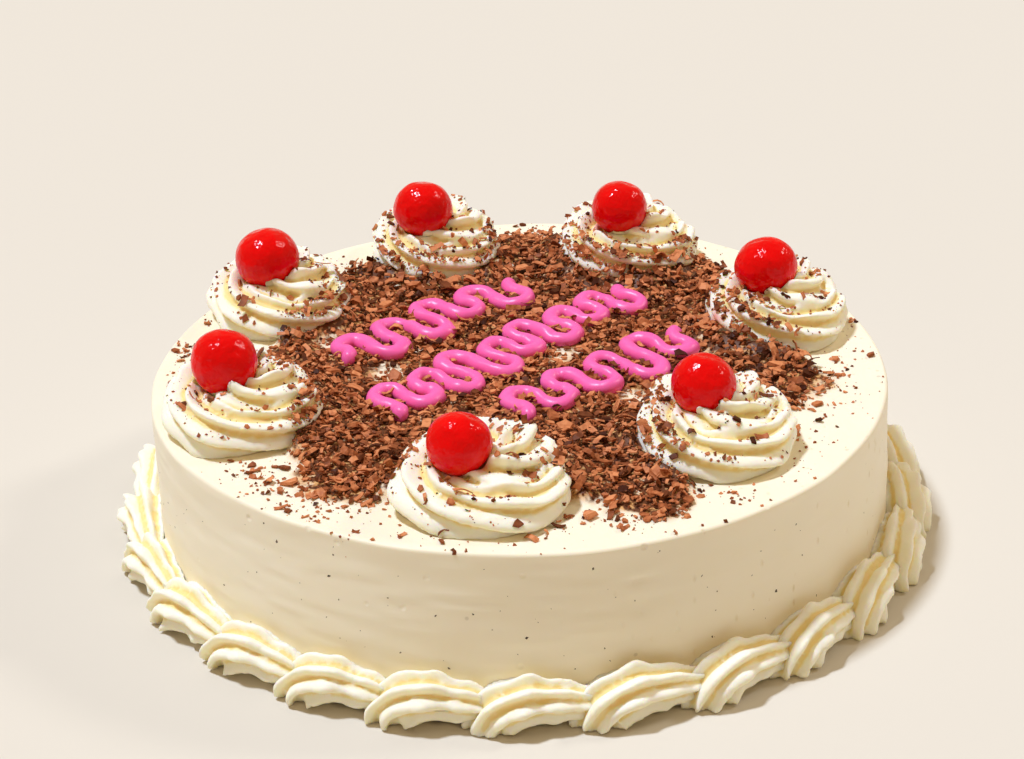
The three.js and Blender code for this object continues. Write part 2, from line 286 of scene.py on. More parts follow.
def read_normals(mesh):
    flat_list = np.empty(len(mesh.vertices) * 3, np.float32)
    mesh.vertex_normals.foreach_get("vector", flat_list)
    return flat_list.reshape(-1, 3).astype(float)


def read_edges(mesh):
    flat_list = np.empty(len(mesh.edges) * 2, np.int32)
    mesh.edges.foreach_get("vertices", flat_list)
    return flat_list.reshape(-1, 2)


def write_attribute(mesh, name, values):
    attribute = mesh.attributes.new(name, "FLOAT", "POINT")
    attribute.data.foreach_set("value", np.asarray(values, np.float32))


def averaged(values, edges, rounds):
    """Each point's value spread over its neighbours, so many times."""
    count = len(values)
    ends = np.concatenate([edges[:, 0], edges[:, 1]])
    others = np.concatenate([edges[:, 1], edges[:, 0]])
    share = 1 / np.maximum(np.bincount(ends, minlength=count), 1)
    for _ in range(rounds):
        columns = [np.bincount(ends, weights=values[others, i], minlength=count) * share for i in range(3)]
        values = np.column_stack(columns)
    return values


def remeshed(name, points, faces, voxel):
    """One closed even skin round a shape whose parts cross each other."""
    rough = new_object(name, points, faces)
    modifier = rough.modifiers.new("even skin", "REMESH")
    modifier.mode = "VOXEL"
    modifier.voxel_size = voxel * MM
    modifier.use_smooth_shade = True
    graph = bpy.context.evaluated_depsgraph_get()
    mesh = bpy.data.meshes.new_from_object(rough.evaluated_get(graph))
    old = rough.data
    bpy.data.objects.remove(rough)
    bpy.data.meshes.remove(old)
    mesh.name = name
    obj = bpy.data.objects.new(name, mesh)
    bpy.context.scene.collection.objects.link(obj)
    return obj


def finish_cream(obj, lowest, seed, sag):
    """Small unevenness on piped cream, and how deep its hollows are, kept as the mask of the painted shade
    in its folds.
    """
    mesh = obj.data
    points = read_points(mesh)
    edges = read_edges(mesh)
    normals = read_normals(mesh)
    ripple = 0.18 * noise(points, 5.5, seed) + 0.07 * noise(points, 2.1, seed + 1)
    ripple = ripple + sag * noise(points, 10, seed + 2)
    points = points + normals * ripple[:, None]
    points[:, 2] = np.maximum(points[:, 2], lowest)
    write_points(mesh, points)
    inner = averaged(points, edges, FOLD_SHADE_ROUNDS)
    # How hollow each point is: the mask of the painted shade in the folds.
    fold_shade = np.einsum("ij,ij->i", inner - points, read_normals(mesh))
    write_attribute(mesh, "fold_shade", np.clip(fold_shade / FOLD_SHADE_FULL, 0, 1))
    return obj


# Materials. Every length inside them is in metres.

def new_material(name):
    material = bpy.data.materials.new(name)
    material.use_nodes = True
    return material, material.node_tree.nodes["Principled BSDF"]


def node(material, kind, **inputs):
    made = material.node_tree.nodes.new(kind)
    for key, value in inputs.items():
        made.inputs[key.replace("_", " ")].default_value = value
    return made


def link(material, source, target):
    material.node_tree.links.new(source, target)


def coordinates(material):
    return node(material, "ShaderNodeTexCoord").outputs["Object"]


def noise_node(material, scale, detail=3.0):
    made = node(material, "ShaderNodeTexNoise", Scale=scale, Detail=detail)
    link(material, coordinates(material), made.inputs["Vector"])
    return made.outputs["Fac"]


def attribute_node(material, name):
    made = material.node_tree.nodes.new("ShaderNodeAttribute")
    made.attribute_name = name
    return made.outputs["Fac"]


def mapped(material, value, low, high, to_low=0.0, to_high=1.0):
    made = material.node_tree.nodes.new("ShaderNodeMapRange")
    made.inputs["From Min"].default_value = low
    made.inputs["From Max"].default_value = high
    made.inputs["To Min"].default_value = to_low
    made.inputs["To Max"].default_value = to_high
    link(material, value, made.inputs["Value"])
    return made.outputs["Result"]


def combined(material, a, b, operation="MULTIPLY"):
    """Two values, each a number or a socket, multiplied or put through another operation."""
    made = material.node_tree.nodes.new("ShaderNodeMath")
    made.operation = operation
    for socket, value in zip(made.inputs, (a, b)):
        if isinstance(value, (int, float)):
            socket.default_value = value
        else:
            link(material, value, socket)
    return made.outputs[0]


def blended(material, share, first, second):
    """A colour between two, each a colour or a socket."""
    made = material.node_tree.nodes.new("ShaderNodeMix")
    made.data_type = "RGBA"
    link(material, share, made.inputs["Factor"])
    for key, value in (("A", first), ("B", second)):
        socket = next(s for s in made.inputs if s.name == key and s.type == "RGBA")
        if isinstance(value, tuple):
            socket.default_value = (*value, 1)
        else:
            link(material, value, socket)
    return next(s for s in made.outputs if s.type == "RGBA")


def bumped(material, shader, height, distance, strength=1.0, after=None):
    made = node(material, "ShaderNodeBump", Strength=strength, Distance=distance)
    link(material, height, made.inputs["Height"])
    if after is not None:
        link(material, after, made.inputs["Normal"])
    link(material, made.outputs["Normal"], shader.inputs["Normal"])
    return made.outputs["Normal"]


def spots(material, scale, size, share, core=0.0, upright=1.0):
    """Small round spots in a share of the cells: 1 inside their core, falling to 0 at the edge."""
    made = node(material, "ShaderNodeTexVoronoi", Scale=scale)
    stretched = node(material, "ShaderNodeMapping", Scale=(1, 1, 1 / upright))
    link(material, coordinates(material), stretched.inputs["Vector"])
    link(material, stretched.outputs["Vector"], made.inputs["Vector"])
    inside = mapped(material, made.outputs["Distance"], size, size * core)
    parts = material.node_tree.nodes.new("ShaderNodeSeparateColor")
    link(material, made.outputs["Color"], parts.inputs["Color"])
    chosen = combined(material, parts.outputs["Red"], 1 - share, "GREATER_THAN")
    return combined(material, inside, chosen)


# Colours. The deep cream is painted shade in the folds of the piped cream, and the warm cream is painted
# shade on its steep sides and undersides.
CREAM = (0.97, 0.92, 0.765)
CREAM_LIGHT = (0.985, 0.955, 0.85)
CREAM_FOLD_SHADE = (0.92, 0.76, 0.34)
CREAM_SIDE_SHADE = (0.97, 0.88, 0.6)
SPREAD_CREAM = (0.91, 0.83, 0.65)
SPREAD_LIGHT = (0.945, 0.885, 0.74)
CHERRY_JUICE = (0.85, 0.1, 0.1)
COCOA_STAIN = (0.74, 0.4, 0.15)
DUST_DARK_AND_GAP_SHADE = (0.035, 0.009, 0.003)
DUST_LIGHT_AND_GAP_SHADE = (0.24, 0.075, 0.022)
GRAIN_SPECK = (0.05, 0.035, 0.02)
GRAIN_SMUDGE = (0.3, 0.26, 0.19)
NICK_SHADE = (0.7, 0.55, 0.28)
CHERRY_DEEP = (0.62, 0.0, 0.001)
CHERRY_BRIGHT = (0.95, 0.0, 0.002)
PINK_DEEP = (1.0, 0.11, 0.42)
PINK_LIGHT = (1.0, 0.17, 0.53)
CHOCOLATE_DARK = (0.03, 0.004, 0.001)
CHOCOLATE_BROWN = (0.43, 0.126, 0.045)
CHOCOLATE_LIGHT = (0.72, 0.28, 0.12)
VANILLA_DARK = (0.03, 0.02, 0.012)
VANILLA_LIGHT = (0.3, 0.22, 0.13)
FLOOR_COLOUR = (0.686, 0.646, 0.583)
FLOOR_LIGHT = (0.696, 0.656, 0.593)


def set_gloss(shader, roughness, specular):
    shader.inputs["Roughness"].default_value = roughness
    shader.inputs["Specular IOR Level"].default_value = specular


def set_depth(shader, weight, radius, scale):
    """How far light runs below the surface: radius is for red, green and blue, and scale is in metres."""
    shader.inputs["Subsurface Weight"].default_value = weight
    shader.inputs["Subsurface Radius"].default_value = radius
    shader.inputs["Subsurface Scale"].default_value = scale


def piped_cream():
    material, shader = new_material("piped_cream")
    set_gloss(shader, 0.5, 0.3)
    set_depth(shader, 0.5, (1.0, 0.7, 0.3), 0.004)
    mottled = blended(material, noise_node(material, 90), CREAM, CREAM_LIGHT)
    # Painted shade: the folds are tinted towards the deep cream by how hollow they are.
    fold_shade = mapped(material, attribute_node(material, "fold_shade"), 0.03, 0.65)
    shaded = blended(material, fold_shade, mottled, CREAM_FOLD_SHADE)
    # Painted shade: sides and undersides, whose normals turn away from up, are tinted towards the warm
    # cream.
    geometry = material.node_tree.nodes.new("ShaderNodeNewGeometry")
    normal = material.node_tree.nodes.new("ShaderNodeSeparateXYZ")
    link(material, geometry.outputs["Normal"], normal.inputs["Vector"])
    side_shade = mapped(material, normal.outputs["Z"], 0.5, -0.4, 0.0, 0.75)
    side_shaded = blended(material, side_shade, shaded, CREAM_SIDE_SHADE)
    bleed = combined(material, attribute_node(material, "bleed"), 0.7)
    tinted = blended(material, bleed, side_shaded, CHERRY_JUICE)
    link(material, tinted, shader.inputs["Base Color"])
    fine = bumped(material, shader, noise_node(material, 700), 0.0002, 0.5)
    bumped(material, shader, noise_node(material, 220, 2.0), 0.0004, 0.4, fine)
    return material


def icing():
    material, shader = new_material("icing")
    set_gloss(shader, 0.5, 0.3)
    set_depth(shader, 0.12, (1.0, 0.7, 0.3), 0.0024)
    mottled = blended(material, noise_node(material, 40), SPREAD_CREAM, SPREAD_LIGHT)
    # Partly painted shade: the chocolate dust under the bed is coloured very dark, partly for the dust
    # itself and partly for the shade in the gaps between the chips.
    dust_and_gap_shade_grain = mapped(material, noise_node(material, 420, 4.0), 0.3, 0.62)
    dust_and_gap_shade = combined(material, attribute_node(material, "dust_and_gap_shade"), dust_and_gap_shade_grain)
    dust_and_gap_shade_colour = blended(material, noise_node(material, 900), DUST_DARK_AND_GAP_SHADE, DUST_LIGHT_AND_GAP_SHADE)
    stain_grain = mapped(material, noise_node(material, 160, 3.0), 0.3, 0.6)
    stain = combined(material, attribute_node(material, "dust_and_gap_shade"), stain_grain)
    stained = blended(material, mapped(material, stain, 0.02, 0.5), mottled, COCOA_STAIN)
    dusted_and_gap_shaded = blended(material, mapped(material, dust_and_gap_shade, 0.2, 0.5), stained, dust_and_gap_shade_colour)
    specked = blended(material, spots(material, 150, 0.05, 0.2, 0.6), dusted_and_gap_shaded, GRAIN_SPECK)
    smudge = combined(material, spots(material, 120, 0.1, 0.2, 0.6), 0.3)
    smudged = blended(material, smudge, specked, GRAIN_SMUDGE)
    position = material.node_tree.nodes.new("ShaderNodeSeparateXYZ")
    link(material, coordinates(material), position.inputs["Vector"])
    right_side = mapped(material, position.outputs["X"], 0.0, 0.09)
    nicks = combined(material, spots(material, 380, 0.3, 0.12, upright=2.0), right_side)
    # Painted shade inside the nicks: they are tinted towards the nick shade colour.
    nick_shaded = blended(material, combined(material, nicks, 0.45), smudged, NICK_SHADE)
    link(material, nick_shaded, shader.inputs["Base Color"])
    pits = combined(material, spots(material, 110, 0.14, 0.3), nicks, "ADD")
    pitted = bumped(material, shader, combined(material, pits, -1.0), 0.0006, 0.6)
    bumped(material, shader, noise_node(material, 60, 5.0), 0.0006, 0.25, pitted)
    return material


def cherry():
    material, shader = new_material("cherry")
    cloudy = blended(material, noise_node(material, 130), CHERRY_DEEP, CHERRY_BRIGHT)
    link(material, cloudy, shader.inputs["Base Color"])
    set_gloss(shader, 0.12, 0.17)
    set_depth(shader, 0.3, (1.0, 0.05, 0.04), 0.006)
    shader.inputs["Coat Weight"].default_value = 0.06
    shader.inputs["Coat Roughness"].default_value = 0.05
    lumpy = bumped(material, shader, noise_node(material, 270, 2.0), 0.0009, 1.0)
    bumped(material, shader, noise_node(material, 900, 2.0), 0.00018, 0.6, lumpy)
    return material


def pink_piping():
    material, shader = new_material("pink_piping")
    tone = blended(material, noise_node(material, 120), PINK_DEEP, PINK_LIGHT)
    link(material, tone, shader.inputs["Base Color"])
    set_gloss(shader, 0.36, 0.5)
    set_depth(shader, 0.12, (1.0, 0.3, 0.6), 0.002)
    bumped(material, shader, noise_node(material, 420), 0.0003, 0.4)
    return material


def chocolate():
    material, shader = new_material("chocolate")
    mottling = mapped(material, noise_node(material, 480, 4.0), 0.3, 0.7, 0.5, 1.2)
    shade = combined(material, attribute_node(material, "tone"), mottling)
    deep = blended(material, mapped(material, shade, 0.0, 0.55), CHOCOLATE_DARK, CHOCOLATE_BROWN)
    colour = blended(material, mapped(material, shade, 0.5, 1.0), deep, CHOCOLATE_LIGHT)
    link(material, colour, shader.inputs["Base Color"])
    set_gloss(shader, 0.48, 0.12)
    bumped(material, shader, noise_node(material, 900, 4.0), 0.0003, 0.7)
    return material


def vanilla():
    material, shader = new_material("vanilla")
    tone = combined(material, attribute_node(material, "tone"), noise_node(material, 800))
    link(material, blended(material, tone, VANILLA_DARK, VANILLA_LIGHT), shader.inputs["Base Color"])
    set_gloss(shader, 0.6, 0.5)
    return material


def floor_finish():
    material, shader = new_material("pale_floor")
    colour = blended(material, noise_node(material, 3), FLOOR_COLOUR, FLOOR_LIGHT)
    link(material, colour, shader.inputs["Base Color"])
    set_gloss(shader, 0.9, 0.5)
    return material


def dress(obj, material, slot, *nodes):
    """Gives a piece its finish and its body, and hides the solids it stands for. Its slot is not used."""
    obj.data.materials.append(material)
    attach(obj, "root")
    if nodes:
        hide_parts(*nodes)
    return obj


# The centre lines of the pink piping, as in the solids.

def meander(start, end, turns, seed):
    """A row of loose turns from side to side of the line from start to end."""
    draw = series(seed)
    span = np.subtract(end, start)
    length = math.hypot(*span)
    peaks = []
    for k in range(turns + 1):
        side = -1 if k % 2 == 0 else 1
        x = length * k / turns + between(draw, -PIPE_SHIFT, PIPE_SHIFT)
        reach = PIPE_REACH + between(draw, -PIPE_UNEVEN, PIPE_UNEVEN)
        if k in (0, turns):
            reach *= PIPE_END_REACH
        peaks.append((x, side * reach))
    track = []
    for (x0, y0), (x1, y1) in zip(peaks, peaks[1:]):
        for i in range(PIPE_DIVISIONS):
            t = i / PIPE_DIVISIONS
            x = x0 + (x1 - x0) * t + PIPE_BULGE * math.sin(TURN * t)
            track.append((x, y0 + (y1 - y0) * (1 - math.cos(math.pi * t)) / 2))
    track.append(peaks[-1])
    along = span / length
    across = np.array([-along[1], along[0]])
    return np.array([np.array(start) + x * along + y * across for x, y in track])


TRACKS = [meander(*row) for row in PIPE_ROWS]
LINES = np.concatenate(TRACKS)


def soft_spot(x, y, px, py, radius):
    """1 at a place, falling softly to nothing round it."""
    return np.exp(-((x - px) ** 2 + (y - py) ** 2) / radius ** 2)


def bed_density(x, y):
    """How thick the chocolate lies at places on the top, from 0 to 1."""
    angle = np.degrees(np.arctan2(y, x))
    edge = np.interp(angle, *np.array(BED_EDGE, float).T)
    edge = edge + 5 * noise(flat(x, y), 11, 3) + 3 * noise(flat(x, y), 5, 4)
    density = np.clip((edge - np.hypot(x, y)) / 8 + 0.5, 0, 1)
    for px, py, radius in BED_THIN:
        density = density * (1 - 0.85 * soft_spot(x, y, px, py, radius))
    return density


def line_distance(x, y):
    """Distance from the nearest centre line of the piping."""
    near = np.full(len(x), 1e9)
    for line in LINES[::3]:
        near = np.minimum(near, np.hypot(x - line[0], y - line[1]))
    return near


def rosette_distance(x, y):
    """Distance from the nearest rosette's foot, negative inside it."""
    gaps = [np.hypot(x - rx, y - ry) - radius for rx, ry, radius, _, _ in ROSETTES]
    return np.min(gaps, axis=0)


# The iced cake: one fine skin, a little uneven, raised where chocolate dust lies.

def push_out(points, distance, radius):
    """Moves points away from the upright axis. radius is how far from it they were."""
    points[:, :2] *= (1 + distance / np.maximum(radius, 1))[:, None]


def knife_marks(points):
    """Short bent dents that the knife left in the wall, as distances outwards."""
    x, y, z = points.T
    around = np.arctan2(y, x)
    dents = np.zeros(len(x))
    draw = series(31)
    for _ in range(KNIFE_MARKS):
        at = between(draw, 0, TURN)
        up = between(draw, 12, 48)
        slope = between(draw, -0.5, 0.5)
        half = between(draw, 4, 12)
        depth = between(draw, 0.12, 0.38)
        width = between(draw, 0.9, 1.8)
        a = np.remainder(around - at + math.pi, TURN) * CAKE_RADIUS - math.pi * CAKE_RADIUS
        along = a * math.cos(slope) + (z - up) * math.sin(slope)
        across = (z - up) * math.cos(slope) - a * math.sin(slope) + 0.02 * along ** 2
        dents -= depth * np.exp(-((across / width) ** 2)) * smooth(1 - np.abs(along) / half)
    return dents


def iced_cake():
    angle = np.arange(CAKE_COLUMNS) / CAKE_COLUMNS * TURN
    foot = CAKE_RADIUS - FOOT_ROUND
    rings = [circle(angle, r, 0) for r in (40, 80, foot)]
    for z in np.linspace(FOOT_ROUND, CAKE_HEIGHT - ICING_EDGE, WALL_ROWS):
        rings.append(circle(angle, wall_radius(angle, z), z))
    for turned in np.linspace(0, math.pi / 2, EDGE_ROWS + 1)[1:]:
        z = CAKE_HEIGHT - ICING_EDGE * (1 - math.sin(turned))
        rings.append(circle(angle, wall_radius(angle, z) - ICING_EDGE * (1 - math.cos(turned)), z))
    top = wall_radius(angle, CAKE_HEIGHT) - ICING_EDGE
    for share in np.linspace(1, 0.02, TOP_ROWS + 1)[1:]:
        rings.append(circle(angle, top * share, CAKE_HEIGHT))
    points, faces = closed_skin(np.array(rings))
    x, y, z = points.T
    around_wall = np.column_stack([np.arctan2(y, x) * CAKE_RADIUS / 14, z / 2.2, np.zeros(len(x))])
    smear = 0.16 * noise(around_wall, 1, 21) * smooth(z / 8) + 0.12 * noise(points, 16, 22)
    smear = smear + 0.35 * noise(points, 19, 27) * smooth((z - 42) / 10)
    out = np.hypot(x, y)
    on_top = smooth((z - CAKE_HEIGHT + 1) / 1) * smooth((CAKE_RADIUS - 2 - out) / 4)
    outward = (1 - on_top) * smooth((z - 1) / 4)
    push_out(points, smear * outward, out)
    bed = bed_density(x, y)
    beside = rosette_distance(x, y)
    density = bed * smooth((beside + 7) / 3)
    lumps = 0.5 + 0.5 * noise(points, 2.6, 23)
    swell = 0.2 * noise(points, 24, 24) + 0.1 * noise(points, 7, 25) - 0.15
    drift = DRIFT_HEIGHT * bed * smooth((beside + 7) / 5) * np.exp(-np.maximum(beside, 0) / 5)
    drift = drift * np.clip((line_distance(x, y) - 3) / 5, 0, 1) * (0.8 + 0.3 * noise(points, 6, 26))
    points[:, 2] += on_top * (swell + density * (0.35 + 0.9 * lumps) + drift)
    push_out(points, knife_marks(points) * outward, out)
    obj = new_object("iced_cake", points, faces)
    # The dust mask: where chocolate dust lies, and with it the painted shade between the chips.
    write_attribute(obj.data, "dust_and_gap_shade", density * on_top)
    return obj


# Piped cream: a rope with star ridges, swept along a path.

def star_rope(path, radii, side, up, depth, phase, lean, ripple):
    """Rings of a ridged rope. side and up span each section; phase turns the ridges along the way."""
    theta = np.arange(ROPE_COLUMNS) / ROPE_COLUMNS * TURN
    rings = []
    for i, centre in enumerate(path):
        wave = np.abs(np.sin(RIDGES * (theta - phase[i]) / 2))
        lift = wave ** RIDGE_SHARPNESS
        r = radii[i] * (1 - depth * (1 - lift)) * (1 + ripple[i] * lift)
        turned = theta - lean * lift / RIDGES
        ring = centre + np.outer(r * np.cos(turned), side[i]) + np.outer(r * np.sin(turned), up[i])
        rings.append(ring)
    return np.array(rings)


def eased(knots, s):
    """Smooth values along a path through knots of (share of the way, value)."""
    where, value = np.array(knots, float).T
    i = np.clip(np.searchsorted(where, s, side="right") - 1, 0, len(where) - 2)
    t = (s - where[i]) / (where[i + 1] - where[i])
    return value[i] + (value[i + 1] - value[i]) * smooth(t)


def bezier(corners, t):
    """Points of a cubic curve."""
    weights = np.column_stack([(1 - t) ** 3, 3 * t * (1 - t) ** 2, 3 * t ** 2 * (1 - t), t ** 3])
    return weights @ np.array(corners, float)


def rosette(number, x, y, radius, height, tail_angle):
    """A swirl: the rope starts in the middle, winds outwards anticlockwise and ends in a pulled tail."""
    draw = series(101 + number)
    rope = ROSETTE_ROPE * radius
    ring = radius - rope
    base = height - rope
    s = np.linspace(0, 1, ROSETTE_STEPS)
    phi = math.radians(tail_angle) - (1 - s) * ROSETTE_WINDINGS * TURN
    outwards = [(0, 1.5), (0.25, 0.46 * ring), (0.5, 0.78 * ring), (0.82, 1.1 * ring), (1, 1.17 * ring)]
    reach = eased(outwards, s) * (1 + 0.03 * np.sin(3 * phi + between(draw, 0, TURN)))
    thick = eased(ROSETTE_THICK, s) * rope
    heights = [(0, base + 0.2), (0.35, base), (0.6, base - 1.8), (0.86, base - 4), (0.94, base - 0.5)]
    lift = eased(heights + [(1, 0.68 * height)], s)
    path = np.column_stack([reach * np.cos(phi), reach * np.sin(phi), lift])
    side = circle(phi, 1, 0)
    up = np.tile([0.0, 0.0, 1.0], (ROSETTE_STEPS, 1))
    phase = between(draw, 0, 1) - between(draw, 3.2, 4.2) * s * ROSETTE_WINDINGS
    ripple = 0.07 * np.sin(s * 41 + between(draw, 0, TURN)) + 0.05 * np.sin(s * 83 + between(draw, 0, TURN))
    rings = star_rope(path, thick, side, up, ROSETTE_RIDGE_DEPTH, phase, ROSETTE_LEAN, ripple)
    foot = -0.5
    rings[:, :, 2] = np.maximum(rings[:, :, 2], foot)
    points, faces = closed_skin(rings)
    points = points + np.array([x, y, CAKE_HEIGHT + GAP])
    obj = remeshed(f"rosette_swirl_{number + 1}", points, faces, ROSETTE_VOXEL)
    sink_cherry(obj.data, *CHERRIES[number])
    finish_cream(obj, CAKE_HEIGHT - 0.4, 400 + number, 0.6)
    write_attribute(obj.data, "bleed", cherry_juice(read_points(obj.data), number))
    return obj


def cherry_juice(points, number):
    """How red the cream is: in patches round its cherry, and where juice has run."""
    cx, cy, radius = CHERRIES[number]
    off = (points - [cx, cy, CAKE_HEIGHT + CHERRY_LIFT]) / [1, 1, CHERRY_SQUASH]
    gap = np.linalg.norm(off, axis=1) - radius
    juice = smooth(1 - gap / 3.2) * smooth(noise(points, 7, 60 + number) * 1.2 + 0.1)
    for sx, sy, size in STAINS:
        spread = soft_spot(points[:, 0], points[:, 1], sx, sy, size)
        juice = juice + spread * smooth(0.4 + 1.5 * noise(points, 2.4, 97))
    return np.minimum(juice, 1)


def sink_cherry(mesh, cx, cy, radius):
    """Cream is pressed out of the way where the cherry sits."""
    points = read_points(mesh)
    centre = np.array([cx, cy, CAKE_HEIGHT + CHERRY_LIFT])
    scale = np.array([1, 1, CHERRY_SQUASH])
    off = (points - centre) / scale
    away = np.linalg.norm(off, axis=1)
    clear = radius + 0.15
    inside = away < clear
    points[inside] = centre + off[inside] / away[inside, None] * clear * scale
    write_points(mesh, points)


def shell_starts():
    """The angles at which the shells start, and where the last one ends."""
    draw = series(5)
    pitch = TURN / SHELLS
    starts = [math.radians(FIRST_FOOT) + pitch * (k + between(draw, -0.05, 0.05)) for k in range(SHELLS)]
    return starts + [starts[0] + TURN]


def shell(number, start, end):
    """A shell of the border: a fat ridged head rises at its start, and its tail runs under the next."""
    draw = series(201 + number)
    scale = between(draw, 0.95, 1.04)
    length = (end - start) * CAKE_RADIUS
    s = np.linspace(0, 1, SHELL_STEPS)
    # Along the border, out from the wall, and up.
    path = bezier([(0, 6.4, -3), (-1.5, 6.2, 9), (6, 5.6, 10.2), (length + 3, 4.4, 3.8)], s)
    thick = eased(SHELL_THICK, s) * scale
    tangent = np.gradient(path, axis=0)
    tangent /= np.linalg.norm(tangent, axis=1)[:, None]
    side = np.tile([0.0, 1.0, 0.0], (SHELL_STEPS, 1))
    up = np.cross(tangent, side)
    phase = between(draw, -0.12, 0.12) + 0.1 - 0.5 * (1 - s) ** 2
    ripple = 0.06 * np.sin(s * 30 + between(draw, 0, TURN))
    rings = star_rope(path, thick, side, up, SHELL_RIDGE_DEPTH, phase, SHELL_LEAN, ripple)
    points, faces = closed_skin(rings)
    along, out, z = points.T
    frill = 1 + 0.09 * smooth((5 - z) / 4) * np.sin(along * TURN / FRILL_PITCH + between(draw, 0, TURN))
    out = np.clip(out * frill, -SHELL_SINK, SHELL_REACH)
    z = np.maximum(z, 0)
    tilted = 0.34 * (z - 5)
    angle = start + (along + tilted) / CAKE_RADIUS
    r = CAKE_RADIUS + out
    placed = np.column_stack([r * np.cos(angle), r * np.sin(angle), z])
    obj = remeshed(f"shell_piped_{number + 1:02d}", placed, faces, SHELL_VOXEL)
    finish_cream(obj, 0, 600 + number, 0.3)
    write_attribute(obj.data, "bleed", np.zeros(len(obj.data.vertices)))
    return obj


def cherry_body(number, x, y, radius):
    """A glazed cherry: round, a little lopsided, with a shallow dimple where its stem was."""
    columns, rows = 60, 34
    phi = np.arange(columns) / columns * TURN
    beta = np.linspace(-math.pi / 2, math.pi / 2, rows + 2)[1:-1]
    rings = [circle(phi, math.cos(b), math.sin(b)) for b in beta]
    points, faces = closed_skin(np.array(rings))
    unit = points / np.linalg.norm(points, axis=1)[:, None]
    bumps = 0.045 * noise(unit, 0.9, 70 + number) + 0.012 * noise(unit, 0.35, 80 + number)
    draw = series(700 + number)
    pole = np.array([between(draw, -0.6, 0.6), between(draw, -0.2, 0.8), 1])
    pole /= np.linalg.norm(pole)
    dimple = 0.07 * np.exp(-((1 - unit @ pole) / 0.025))
    shaped = unit * (np.minimum(0.985 + bumps - dimple, 1.02) * radius)[:, None]
    shaped[:, 2] = np.minimum(shaped[:, 2], radius) * CHERRY_SQUASH
    return new_object(f"cherry_glazed_{number + 1}", shaped + [x, y, CAKE_HEIGHT + CHERRY_LIFT], faces)


def pipe_line(number, track):
    """A rope of soft icing with a flat base and round ends."""
    spans = np.linalg.norm(np.diff(track, axis=0), axis=1)
    travelled = np.concatenate([[0], np.cumsum(spans)])
    count = int(travelled[-1] / PIPE_STEP)
    where = np.linspace(0, travelled[-1], count)
    line = np.column_stack([np.interp(where, travelled, track[:, i]) for i in range(2)])
    for _ in range(3):
        line[1:-1] = (line[:-2] + 2 * line[1:-1] + line[2:]) / 4
    tangent = np.gradient(line, axis=0)
    tangent /= np.linalg.norm(tangent, axis=1)[:, None]
    side = np.column_stack([-tangent[:, 1], tangent[:, 0]])
    from_end = np.minimum(where, travelled[-1] - where)
    blunt = np.sqrt(1 - (1 - np.clip((from_end + 0.15) / 2.4, 0, 1)) ** 2)
    places = flat(line[:, 0], line[:, 1])
    swell = 1.07 + 0.17 * noise(places, 5, 30 + number) + 0.08 * noise(places, 2.2, 33 + number)
    lift = 1 + 0.16 * noise(places, 4, 36 + number)
    theta = np.radians(np.linspace(-38, 218, PIPE_SECTIONS))
    rings = []
    for i in range(count):
        across = blunt[i] * swell[i] * PIPE_WIDTH / 2 * np.cos(theta)
        up = np.maximum(0, (0.42 + 0.58 * np.sin(theta)) * PIPE_HEIGHT * blunt[i] * lift[i] * 0.95)
        ring = np.column_stack([line[i, 0] + side[i, 0] * across, line[i, 1] + side[i, 1] * across, up])
        rings.append(ring)
    points, faces = closed_skin(np.array(rings))
    points[:, 2] += CAKE_HEIGHT + GAP
    points += 0.09 * np.column_stack([noise(points, 2.4, 40 + i) for i in range(3)])
    points[:, 2] = np.maximum(points[:, 2], CAKE_HEIGHT + 0.1)
    return new_object(f"piping_rope_{number + 1}", points, faces)


# Chocolate: chips, shavings and crumbs, one joined mesh for each kind.

def top_ray(trees, x, y):
    """The highest cream at a place, with its normal."""
    best = None
    for tree in trees:
        hit, normal, _, _ = tree.ray_cast(Vector((x * MM, y * MM, 0.12)), Vector((0, 0, -1)))
        if hit is not None and (best is None or hit.z > best[0].z):
            best = (hit, normal)
    return best


def settle(trees, x, y):
    """Where pieces dropped at these places come to lie, and the cream's normals there."""
    places = np.zeros((len(x), 3))
    normals = np.zeros((len(x), 3))
    for i in range(len(x)):
        hit, normal = top_ray(trees, x[i], y[i])
        places[i] = np.array(hit) / MM
        normals[i] = normal
    return places, normals


def turned_by(normals, tilt, rng):
    """Turning matrices: spun flat, tilted, spun again and set on each normal."""
    count = len(normals)
    zero = np.zeros(count)
    one = np.ones(count)

    def about_z(angle):
        c, s = np.cos(angle), np.sin(angle)
        return np.stack([c, -s, zero, s, c, zero, zero, zero, one], axis=1).reshape(-1, 3, 3)

    c, s = np.cos(tilt), np.sin(tilt)
    about_x = np.stack([one, zero, zero, zero, c, -s, zero, s, c], axis=1).reshape(-1, 3, 3)
    spun = about_z(rng.uniform(0, TURN, count)) @ about_x @ about_z(rng.uniform(0, TURN, count))
    a, b, n = normals.T
    k = 1 / (1 + np.maximum(n, 0))
    upright = np.stack([1 - a * a * k, -a * b * k, a, -a * b * k, 1 - b * b * k, b, -a, -b, n], axis=1)
    return upright.reshape(-1, 3, 3) @ spun


def scattered(name, shapes, faces, places, turns, tones):
    """One mesh of many pieces that share their faces but not their shape."""
    count, corners = shapes.shape[:2]
    points = np.einsum("nij,nkj->nki", turns, shapes) + places[:, None, :]
    joined = [[corner + i * corners for corner in face] for i in range(count) for face in faces]
    obj = new_object(name, points.reshape(-1, 3), joined, False)
    write_attribute(obj.data, "tone", np.repeat(tones, corners))
    return obj


